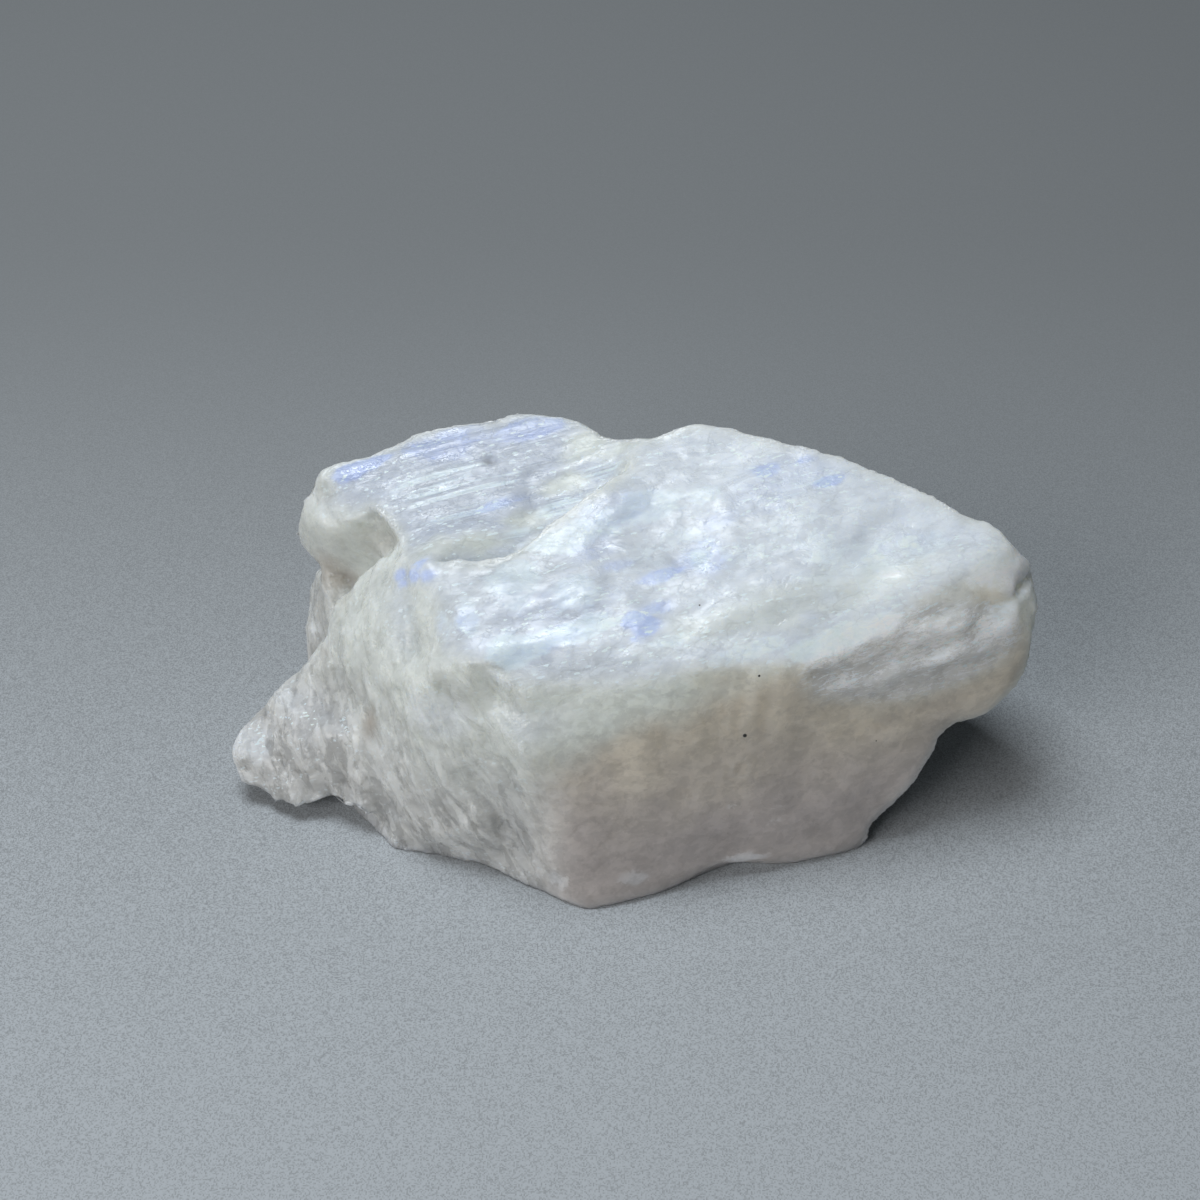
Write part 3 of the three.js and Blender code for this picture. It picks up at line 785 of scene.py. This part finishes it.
def base_coats(n):
    """Milky white above and neutral on the sides, then hazy, greenish, grey with painted shade in the recess,
    and warm by their masks.
    """
    colour = n.mix(n.mask("upper"), NEUTRAL, MILKY)
    colour = n.coat(colour, "silk", HAZE, share=0.5)
    colour = n.coat(colour, "waxy", GREENISH, share=0.85)
    colour = n.mix(n.mask("dim"), colour, GREY_AND_SHADE)
    warm = n.mix(n.mask("low"), BEIGE, DUSKY)
    return n.mix(n.mask("warm"), colour, warm)


def painted_pearly_and_silky_sheen(n, colour, ragged):
    """Painted pearly sheen on bright white plates, and painted silky sheen in streaks along the grain."""
    pearl = n.span(n.plus(n.mask("pearly_sheen"), n.times(ragged, 0.8)), 0.2, 0.7)
    strength = n.span(n.mask("pearly_sheen"), 0.5, 1.3, 0.38, 0.9)
    colour = n.mix(n.times(pearl, strength), colour, PEARL_HIGHLIGHT)
    streak = n.noise(n.in_crystal(14, 0.55, 2.0), 1.5, 0.5)
    silky = n.times(n.span(streak, 0.48, 0.58), n.span(n.mask("combed_sheen"), 0.1, 0.6))
    return n.mix(n.times(silky, 0.7), colour, PEARL_HIGHLIGHT)


def schiller(n, colour, ragged):
    """Painted blue schiller sheen: a soft shine and, over it, a stronger one with ragged edges."""
    colour = n.coat(colour, "blue", BLUE_SHEEN, share=0.4)
    blue = n.span(n.plus(n.mask("blue"), n.times(ragged, 0.6)), 0.30, 0.85)
    return n.mix(n.times(blue, 0.5), colour, BLUE_SHEEN)


def torn_layers(n, colour):
    """Greyish layers in the band, with painted glints in bright threads along them that are densest in the
    tufts.
    """
    threads = n.noise(n.in_crystal(1.0, 0.5, 0.2), 3.0, 0.7)
    colour = n.coat(colour, "fibre", LAYERED, share=0.6)
    bright = n.span(n.plus(threads, n.times(n.mask("tufts"), 0.20)), 0.56, 0.60)
    return n.mix(n.times(bright, n.mask("fibre")), colour, SILVER)


def pale_and_lit_patches(n, colour, ragged):
    # Pale stone, and painted light below the front edge, on the tip and on the ledge's rim.
    pale = n.times(n.mask("pale"), n.span(n.plus(n.mask("pale"), ragged), 0.3, 0.6))
    return n.mix(n.times(pale, 0.45), colour, SILVER)


def flake_strength(n):
    """How strongly the flakes lighten and darken the colour."""
    left = n.plus(n.times(n.mask("low"), LOW_LEFT_FLAKES), LEFT_FLAKES)
    strength = n.plus(n.times(n.mask("left"), left), FLAKES)
    return n.plus(strength, n.times(n.mask("front"), FRONT_FLAKES))


def brightness(n, large, small, cloud, fine):
    """How much lighter or darker than its colour each place is: 1 leaves it as it is."""
    strength = flake_strength(n)
    mottle = n.plus(n.times(n.plus(large, -0.5), strength), n.times(n.plus(small, -0.5), strength))
    grit = n.times(n.plus(fine, -0.5), n.span(n.mask("upper"), 0.5, 1.0, SIDE_GRIT, GRIT))
    clouds = n.plus(n.times(n.plus(cloud, -0.5), CLOUDS), grit)
    # Painted light, lighter towards the right end.
    painted_light_rightward = n.times(n.plus(n.mask("painted_light_rightward"), -0.5), PAINTED_LIGHT_RIGHTWARD)
    tones = n.times(n.plus(n.mask("tone"), -0.5), TONES)
    # Painted shade in the creases.
    creases = n.times(n.mask("crease"), CREASE_SHADE)
    levels = n.plus(tones, creases, painted_light_rightward)
    lines = n.fractures(n.in_crystal(2.6, 1.5, 2.0, (5, 3, 8)))
    hairlines = n.times(n.times(lines, n.mask("upper")), n.span(cloud, 0.42, 0.6, 0.0, HAIRLINES))
    return n.plus(mottle, clouds, levels, hairlines, 1.0)


def glints(n, colour, cloud):
    """Tiny bright cells along the grain: above, in the band and, fewer, on the left side and the back."""
    tiny = n.cells(n.in_crystal(0.5, 0.2, 0.14, (2, 9, 5)))
    chosen = n.plus(tiny, n.times(cloud, 0.35), n.times(n.mask("tufts"), 0.14))
    chosen = n.span(chosen, 1.11, 1.17)
    shining = n.plus(n.times(n.mask("upper"), 0.8), n.times(n.mask("fibre"), 0.8))
    shining = n.plus(shining, n.times(n.mask("left"), 0.35))
    return n.mix(n.math("MULTIPLY", chosen, shining, clamp=True), colour, PEARL_HIGHLIGHT)


def stone_colour(n, large, small):
    """The stone's base colour, with each colouring laid over the ones before it."""
    cloud = n.noise(n.in_crystal(6.5, 4.0, 4.5), 3.0, 0.55)
    fine = n.noise(n.in_crystal(0.6, 0.45, 0.45), 2.0, 0.6)
    ragged = n.plus(n.times(large, 0.22), n.times(small, 0.12), n.times(fine, 0.3), -0.32)
    colour = base_coats(n)
    colour = painted_pearly_and_silky_sheen(n, colour, ragged)
    colour = schiller(n, colour, ragged)
    colour = torn_layers(n, colour)
    colour = pale_and_lit_patches(n, colour, ragged)
    colour = n.scale(colour, brightness(n, large, small, cloud, fine))
    colour = glints(n, colour, cloud)
    # Brownish stains, with painted shade under the ledge and in the pocket.
    colour = n.coat(colour, "stain_and_shade", BROWN, share=0.7)
    for speck in SPECKS:
        colour = n.mix(n.speck(*speck), colour, BLACK)
    return colour


def stone_bump(n, large, small):
    """The normal of the fine surface: striations, broken layer edges and the steps of the flakes."""
    striae = n.noise(n.in_crystal(22, 0.5, 0.9), 3.0, 0.6)
    layers = n.noise(n.in_crystal(1.4, 0.6, 0.25), 3.0, 0.65)
    soft = n.noise(n.in_crystal(4.5, 2.6, 3.0), 2.0, 0.5)
    steps = n.plus(n.times(large, 0.07), n.times(small, 0.035))

    silk = n.times(n.plus(n.times(striae, 0.10), n.times(small, 0.01)), n.mask("silk"))
    upper = n.times(n.plus(n.times(steps, 0.28), n.times(soft, 0.1)), n.mask("upper"))
    left = n.times(n.plus(n.times(steps, 1.25), n.times(soft, 0.4)), n.mask("left"))
    fibre = n.times(n.plus(n.times(layers, 0.26), steps), n.mask("fibre"))
    front = n.times(n.plus(n.times(steps, 0.2), n.times(soft, 0.3)), n.mask("front"))
    height = n.plus(silk, upper, left, fibre, front)  # in millimetres
    return n.make("Bump", {"Strength": 0.8, "Distance": MM, "Height": height}).outputs["Normal"]


def stone_roughness(n):
    """Patchy gloss, duller on the front and glossier in the blue patches."""
    patchy = n.noise(n.in_crystal(2.4, 1.2, 1.4, (9, 2, 4)), 3.0, 0.6)
    gloss = n.span(patchy, 0.35, 0.65, 0.20, 0.42)
    return n.plus(gloss, n.times(n.mask("front"), 0.08), n.times(n.mask("blue"), -0.10))


REFRACTION = 1.53
SPECULAR = 0.45
GLOW_DEPTH = 3.2  # how far light spreads below the surface, in millimetres
GLOW_TINT = (1.0, 0.95, 0.85)  # share of that depth for red, green and blue


def moonstone():
    """Translucent feldspar."""
    n = Nodes("moonstone")
    shader = n.make("BsdfPrincipled")
    large, small = flake_fields(n)
    n.put(shader.inputs["Base Color"], stone_colour(n, large, small))
    n.put(shader.inputs["Roughness"], stone_roughness(n))
    n.put(shader.inputs["Normal"], stone_bump(n, large, small))
    shader.inputs["IOR"].default_value = REFRACTION
    shader.inputs["Specular IOR Level"].default_value = SPECULAR
    shader.inputs["Subsurface Weight"].default_value = 1.0
    shader.inputs["Subsurface Radius"].default_value = GLOW_TINT
    shader.inputs["Subsurface Scale"].default_value = GLOW_DEPTH * MM
    n.finish(shader)
    return n.material


# ---------------------------------------------------------------- floor, lights and camera

TOOTH = 0.12  # size of the floor's grain, in millimetres
# The floor's colour at the back and at the front, with painted light between them.
FLOOR_DARK = (0.208, 0.219, 0.227)
FLOOR_PALE = (0.46, 0.49, 0.52)
FLOOR_ROUGHNESS = 0.85
FLOOR_REACH = 3.0  # half its length, in metres


def floor_material():
    """Matt pale card with a fine tooth, with painted light that makes it lighter towards the front."""
    n = Nodes("floor")
    position = n.make("TexCoord").outputs["Object"]
    away = n.make("SeparateXYZ", {0: position}).outputs[1]
    cell = n.make("VectorMath", {0: position, 1: (TOOTH * MM,) * 3}, operation="SNAP")
    grain = n.make("TexWhiteNoise", {"Vector": cell.outputs[0]})
    speckle = n.plus(grain.outputs["Value"], -0.5)
    speckle = n.times(speckle, n.span(away, -0.06, 0.10, 1.1, 0.08))
    # Painted light: the colour goes from the darker back to the paler front.
    share = n.plus(n.span(away, -0.12, 0.12, 1.2, 0.05), speckle)
    shader = n.make("BsdfPrincipled", {"Roughness": FLOOR_ROUGHNESS})
    n.put(shader.inputs["Base Color"], n.mix(share, FLOOR_DARK, FLOOR_PALE))
    n.finish(shader)
    return n.material


def make_floor():
    mesh = bpy.data.meshes.new("floor")
    r = FLOOR_REACH
    corners = [(-r, -r, 0), (r, -r, 0), (r, r, 0), (-r, r, 0)]
    mesh.from_pydata(corners, [], [(0, 1, 2, 3)])
    mesh.materials.append(floor_material())
    floor = bpy.data.objects.new("floor", mesh)
    bpy.context.collection.objects.link(floor)


# Square soft lights: name, place and side length in metres, power in watts, and colour.
LIGHTS = [
    ("overhead", (-0.11, 0.12, 0.58), 0.28, 2.36, (0.90, 0.96, 1.0)),
    ("front_left", (-0.40, -0.42, 0.34), 0.36, 2.05, (1.0, 0.99, 0.98)),
]
LIT_POINT = Vector((0, 0, 0.01))  # what the lights point at, in metres
SURROUNDINGS = (1.0, 0.99, 0.98, 1)
SURROUNDINGS_STRENGTH = 0.02


def area_light(name, place, size, power, colour):
    light = bpy.data.lights.new(name, "AREA")
    light.shape = "SQUARE"
    light.size = size
    light.energy = power
    light.color = colour
    lamp = bpy.data.objects.new(name, light)
    bpy.context.collection.objects.link(lamp)
    lamp.location = place
    direction = LIT_POINT - Vector(place)
    lamp.rotation_euler = direction.to_track_quat("-Z", "Y").to_euler()


def make_lights():
    for light in LIGHTS:
        area_light(*light)
    world = bpy.data.worlds.new("studio")
    world.use_nodes = True
    background = world.node_tree.nodes["Background"]
    background.inputs["Color"].default_value = SURROUNDINGS
    background.inputs["Strength"].default_value = SURROUNDINGS_STRENGTH
    bpy.context.scene.world = world


CAMERA_ELEVATION = math.radians(40)
CAMERA_DISTANCE = 0.230  # from its target, in metres
CAMERA_TARGET = Vector((-0.00287, 0.02482, 0))  # metres
LENS = 60  # focal length, in millimetres
SENSOR_WIDTH = 36  # millimetres
NEAREST = 0.01  # how close the camera still sees, in metres


def make_camera():
    data = bpy.data.cameras.new("camera")
    data.lens = LENS
    data.sensor_width = SENSOR_WIDTH
    data.clip_start = NEAREST
    camera = bpy.data.objects.new("camera", data)
    bpy.context.collection.objects.link(camera)
    towards = Vector((0, math.cos(CAMERA_ELEVATION), -math.sin(CAMERA_ELEVATION)))
    camera.location = CAMERA_TARGET - towards * CAMERA_DISTANCE
    camera.rotation_euler = towards.to_track_quat("-Z", "Y").to_euler()
    bpy.context.scene.camera = camera


# ---------------------------------------------------------------- the scene

def make_stone():
    """The fine surface with its masks and its material, in the CAD solid's place."""
    stone = fine_copy(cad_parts["moonstone"])
    surface = shape_surface(stone)
    store(stone.data, colour_masks(surface))
    surface.write()
    stone.data.materials.clear()
    stone.data.materials.append(moonstone())
    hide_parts("moonstone")
    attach(stone, "root")


make_stone()
make_floor()
make_lights()
make_camera()
bpy.context.scene.view_settings.view_transform = "Standard"
